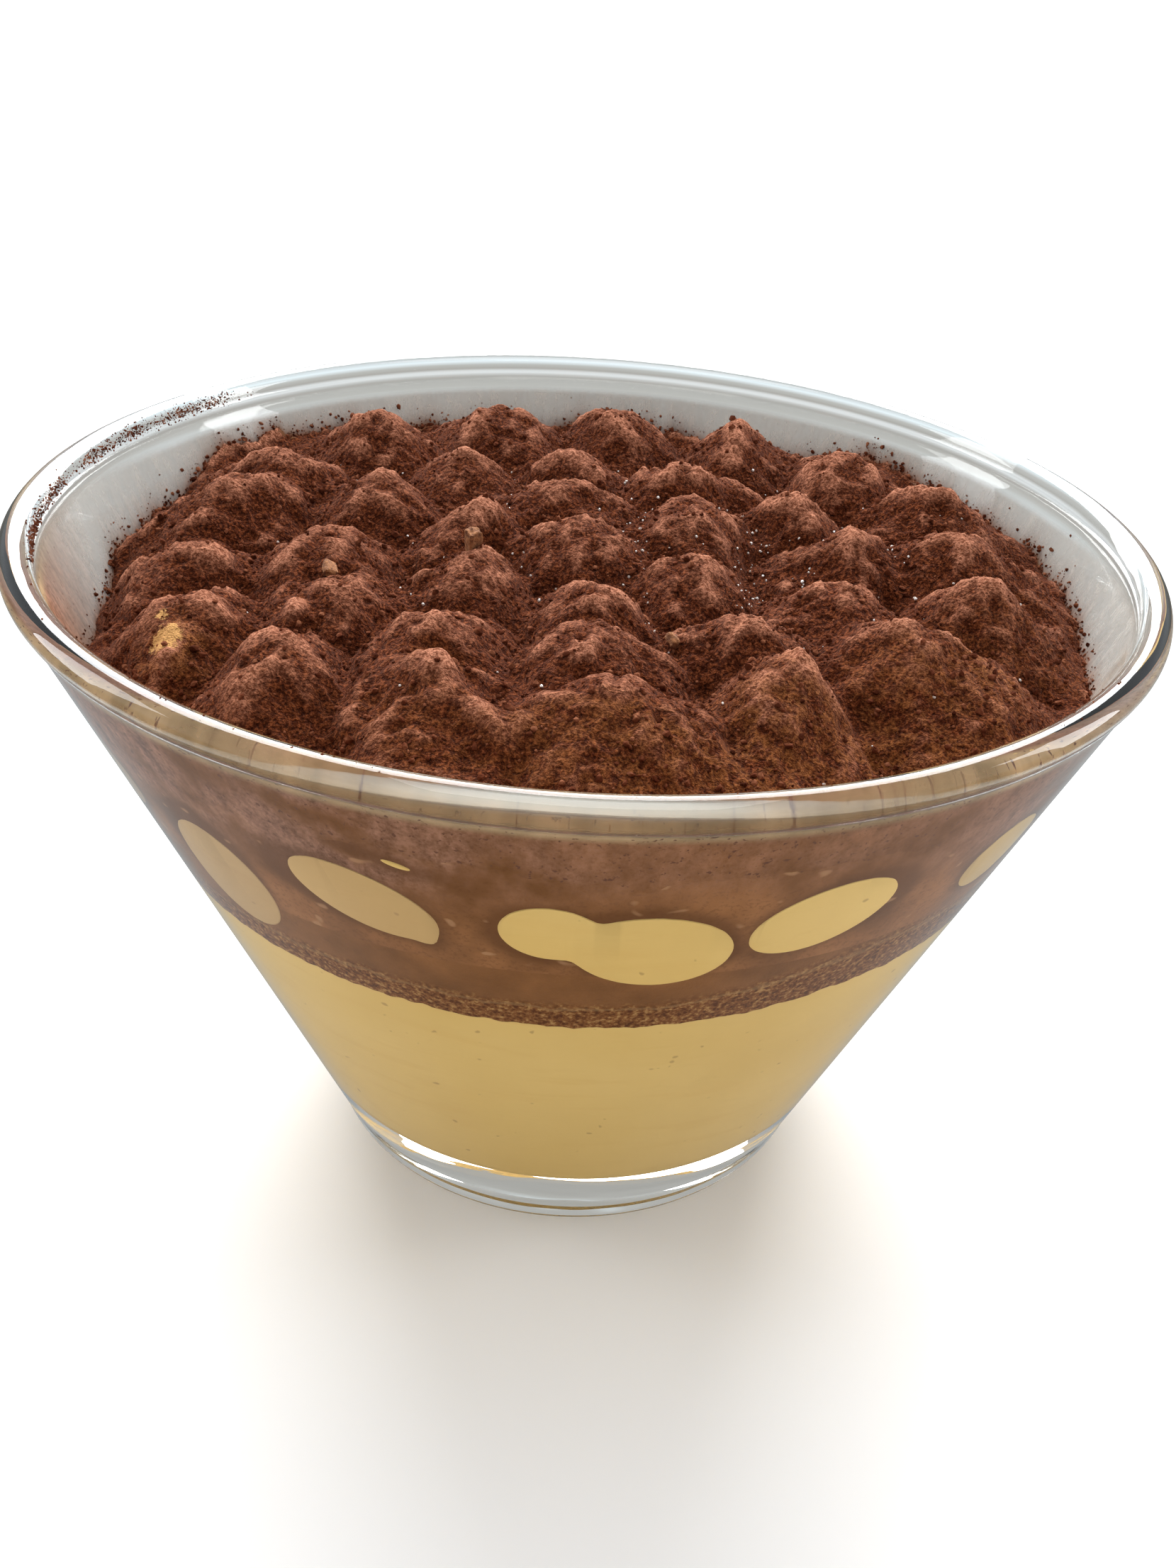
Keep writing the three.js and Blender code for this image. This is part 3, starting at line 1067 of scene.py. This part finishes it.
def loose_grains(material):
    """Clumps of cocoa all over the coat, thickest in the valleys."""
    random = np.random.default_rng(SEED + 2)
    radius = 51.5 * MM * np.sqrt(random.uniform(0, 1, GRAINS))
    turn = random.uniform(0, 2 * math.pi, GRAINS)
    x, y = radius * np.cos(turn), radius * np.sin(turn)
    valley = np.clip(0.7 - crest_of(x, y), 0.12, 1)
    kept = random.uniform(0, 1, GRAINS) < valley
    x, y = x[kept], y[kept]
    sizes = MM * (0.12 + 0.26 * random.uniform(0, 1, len(x)) ** 4)
    scatter("cocoa_grains", on_cocoa(x, y, sizes, 0.4), sizes, material, "cocoa_dusted_cream")


def edge_clumps(material):
    """Clumps that stick to the glass along the cocoa's edge."""
    random = np.random.default_rng(SEED + 3)
    azimuth = random.uniform(-math.pi, math.pi, CLUMPS)
    sizes = MM * (0.08 + 0.24 * random.uniform(0, 1, CLUMPS) ** 4)
    sizes[np.abs(azimuth + radians(8)) < radians(72)] *= 0.5
    z = contact_at(azimuth) + MM * (random.exponential(0.55, CLUMPS) - 0.4)
    z = np.minimum(z, 73.5 * MM)
    spread = inner_radius(z) - sizes * 0.8
    places = around(azimuth, spread, z)
    scatter("wall_clumps", places, sizes, material, "cocoa_dusted_cream")


def lip_smear(material):
    """A smear of cocoa along the left of the lip, and a few grains round the rest of it."""
    random = np.random.default_rng(SEED + 4)
    azimuth = np.concatenate([
        random.choice(np.radians(SMEARED), SMEAR_GRAINS)
        + radians(2.4) * random.normal(size=SMEAR_GRAINS),
        random.uniform(radians(-75), radians(60), STRAY_GRAINS),
    ])
    over = np.concatenate([  # how far round the bead each lies, in degrees
        165 + 14 * random.normal(size=SMEAR_GRAINS), random.uniform(75, 160, STRAY_GRAINS),
    ])
    over = np.radians(np.clip(over, 70, 200))
    sizes = MM * (0.035 + 0.1 * random.uniform(0, 1, len(azimuth)) ** 3)
    spread = BEAD_X + (BEAD_RADIUS + sizes * 0.4) * np.cos(over)
    z = BEAD_Z + (BEAD_RADIUS + sizes * 0.4) * np.sin(over)
    z = np.minimum(z, CUP_HEIGHT - sizes * 0.2)
    places = around(azimuth, spread, z)
    scatter("lip_smear", places, sizes, material, "cocoa_dusted_cream")


def scatter_glint_specks():
    """Bright specks in the valleys, most of them right of the middle: glossy, with a near-white
    colour that paints the glints of the window there.
    """
    random = np.random.default_rng(SEED + 5)
    x = MM * random.normal(13, 19, GLINT_SPECKS)
    y = MM * random.normal(4, 15, GLINT_SPECKS)
    kept = (np.hypot(x, y) < 48 * MM) & (crest_of(x, y) < -0.15)
    x, y = x[kept], y[kept]
    sizes = MM * random.uniform(0.07, 0.19, len(x))
    places = on_cocoa(x, y, sizes, 0.8)
    scatter("glint_specks", places, sizes, glint_speck(), "mascarpone_cream", 0.15)


# Crumbs: name, x, y, half sizes and tilt.
CRUMB_PLACES = [
    ("crumb_stick", -12.4, -8.5, (0.75, 0.65, 1.25), 14),
    ("crumb_small", 9.0, -21.0, (0.8, 0.7, 0.5), 40),
    ("crumb_flat", -26.0, -14.0, (1.0, 0.7, 0.45), -25),
]


def crumbs():
    """Crumbs of sponge on the cocoa: a bar bevelled, split finer and roughened."""
    material = baked_crumb()
    for name, x, y, half, tilt in CRUMB_PLACES:
        deselect()
        bpy.ops.mesh.primitive_cube_add(size=2, location=(0, 0, 0))
        piece = bpy.context.object
        piece.name = name
        bpy.ops.object.mode_set(mode="EDIT")
        bpy.ops.mesh.select_all(action="SELECT")
        bpy.ops.transform.resize(value=tuple(side * MM for side in half))
        bpy.ops.mesh.bevel(offset=0.25 * MM, segments=2)
        bpy.ops.mesh.select_all(action="SELECT")
        bpy.ops.mesh.subdivide(number_cuts=3)
        bpy.ops.object.mode_set(mode="OBJECT")
        places = vertices_of(piece)
        swell = 1 + 0.22 * rough(places, 0.7 * MM, x) + 0.12 * rough(places, 0.3 * MM, y)
        set_vertices(piece, places * swell[:, None])
        ground = cocoa_height(np.array([x * MM]), np.array([y * MM]))[0]
        piece.rotation_euler = (radians(tilt), radians(-tilt / 2), radians(3 * tilt))
        piece.location = (x * MM, y * MM, ground + half[2] * 0.7 * MM)
        settle(piece)
        smooth(piece, 50)
        finish_piece(piece, material, "soaked_sponge")


# ------------------------ stage, lights and camera


def stage():
    """A pale floor that curves up into a wall all round."""
    flat, rise = 0.9, 0.7  # metres from the middle to the curve, and height of the curve
    section = [(0, 0), (0.15, 0), (flat, 0)]
    for turn in np.linspace(0, math.pi / 2, 13)[1:]:
        section.append((flat + rise * math.sin(turn), rise * (1 - math.cos(turn))))
    floor = spun("floor", section, 96)
    smooth(floor, 60)
    floor.data.materials.append(pale_floor())
    floor.visible_glossy = False
    floor.visible_transmission = False


def softbox(name, place, aim, size, power, colour):
    """A soft lamp turned towards its aim. The camera doesn't see it."""
    light = bpy.data.lights.new(name, "AREA")
    light.shape = "RECTANGLE"
    light.size, light.size_y = size
    light.energy = power
    light.color = colour
    lamp = bpy.data.objects.new(name, light)
    bpy.context.scene.collection.objects.link(lamp)
    lamp.location = place
    lamp.rotation_euler = (Vector(aim) - Vector(place)).to_track_quat("-Z", "Y").to_euler()
    lamp.visible_camera = False


# Colour of the room round the stage by height of direction, from straight down to straight up: on
# the window's side, and on the other side as the glass mirrors it and as it shows through.
WINDOW_SIDE = [
    (-1.0, (0.38, 0.375, 0.35)), (-0.75, (0.68, 0.73, 0.76)), (-0.5, (0.98, 1.11, 1.19)),
    (-0.3, (0.56, 0.565, 0.55)), (-0.1, (0.48, 0.48, 0.465)), (0.1, (0.88, 0.93, 0.96)),
    (0.4, (0.7, 0.74, 0.78)), (1.0, (0.34, 0.35, 0.37)),
]
MIRRORED = [
    (-1.0, (0.07, 0.066, 0.05)), (-0.15, (0.1, 0.098, 0.08)), (0.0, (0.16, 0.15, 0.12)),
    (0.2, (0.5, 0.54, 0.58)), (0.5, (0.42, 0.44, 0.46)), (1.0, (0.33, 0.34, 0.36)),
]
SEEN_THROUGH = [(-1.0, (0.74, 0.75, 0.7)), (-0.2, (0.62, 0.64, 0.62)), (1.0, (0.36, 0.37, 0.38))]


def lights():
    """Soft lamps, and a room whose window side is bright."""
    world = bpy.data.worlds.new("studio")
    bpy.context.scene.world = world
    world.use_nodes = True
    m = Nodes("studio", world)
    _, back, height = m.node("ShaderNodeSeparateXYZ", Vector=m.direction).outputs
    height = m.times(m.plus(height, 1.0), 0.5)
    window_side, mirrored, through = [
        m.ramp(height, *[((level + 1) / 2, colour) for level, colour in room])
        for room in (WINDOW_SIDE, MIRRORED, SEEN_THROUGH)
    ]
    rays = m.tree.nodes.new("ShaderNodeLightPath")
    shiny, passing = rays.outputs["Is Glossy Ray"], rays.outputs["Is Transmission Ray"]
    reflected = m.maths("SUBTRACT", shiny, passing, clamp=True)
    window_side = m.mix(m.times(reflected, 0.6), window_side, mirrored)
    other_side = m.mix(passing, mirrored, through)
    m.link(m.mix(m.between(back, -0.2, 0.1), other_side, window_side), m.shader.inputs["Color"])
    middle = (0, 0, 0.06)
    softbox("back_window", (-0.15, 1.4, 1.1), middle, (1.9, 1.3), 78, (0.98, 0.99, 1.0))
    softbox("left_window", (-0.75, 0.1, 0.35), middle, (0.3, 0.5), 2.4, (0.95, 0.98, 1.0))
    softbox("right_window", (0.75, 0.15, 0.35), middle, (0.25, 0.5), 2.4, (0.96, 0.98, 1.0))
    softbox("overhead", (0.0, -0.1, 1.2), middle, (0.8, 0.8), 4.5, (1.0, 0.98, 0.95))


ELEVATION = 33.785  # the camera looks down by this angle
ROLL = 5.02  # and is turned by this about its own line of sight
DISTANCE = 174.93 * MM
AIM = Vector((8.373 * MM, -0.576 * MM, 35.14 * MM))  # what it looks at from that distance
LENS = 32.55
SHIFT = (-87 / 2212, 83 / 2212)  # as shares of the frame's longer side


def camera():
    data = bpy.data.cameras.new("camera")
    data.lens = LENS
    data.sensor_width = 36
    data.clip_start = 0.01
    data.clip_end = 20
    data.shift_x, data.shift_y = SHIFT
    view = bpy.data.objects.new("camera", data)
    bpy.context.scene.collection.objects.link(view)
    turn = Matrix.Rotation(radians(90 - ELEVATION), 4, "X") @ Matrix.Rotation(radians(ROLL), 4, "Z")
    back = turn @ Vector((0, 0, DISTANCE))
    view.matrix_world = Matrix.Translation(AIM + back) @ turn
    bpy.context.scene.camera = view


camera()
stage()
lights()
glass_cup()
cream = smooth_cream()
lower_cream(cream)
sponge()
dollops(cream)
brown_film()
cocoa = cocoa_powder()
coat("cocoa_ring", HEART_RADIUS, FULL_RADIUS, 112, 760, cocoa)
coat("cocoa_heart", 0, HEART_RADIUS, 90, 480, cocoa)
dust_on_wall()
grains = loose_cocoa()
loose_grains(grains)
edge_clumps(grains)
lip_smear(grains)
scatter_glint_specks()
crumbs()
bpy.context.scene.view_settings.view_transform = "Standard"
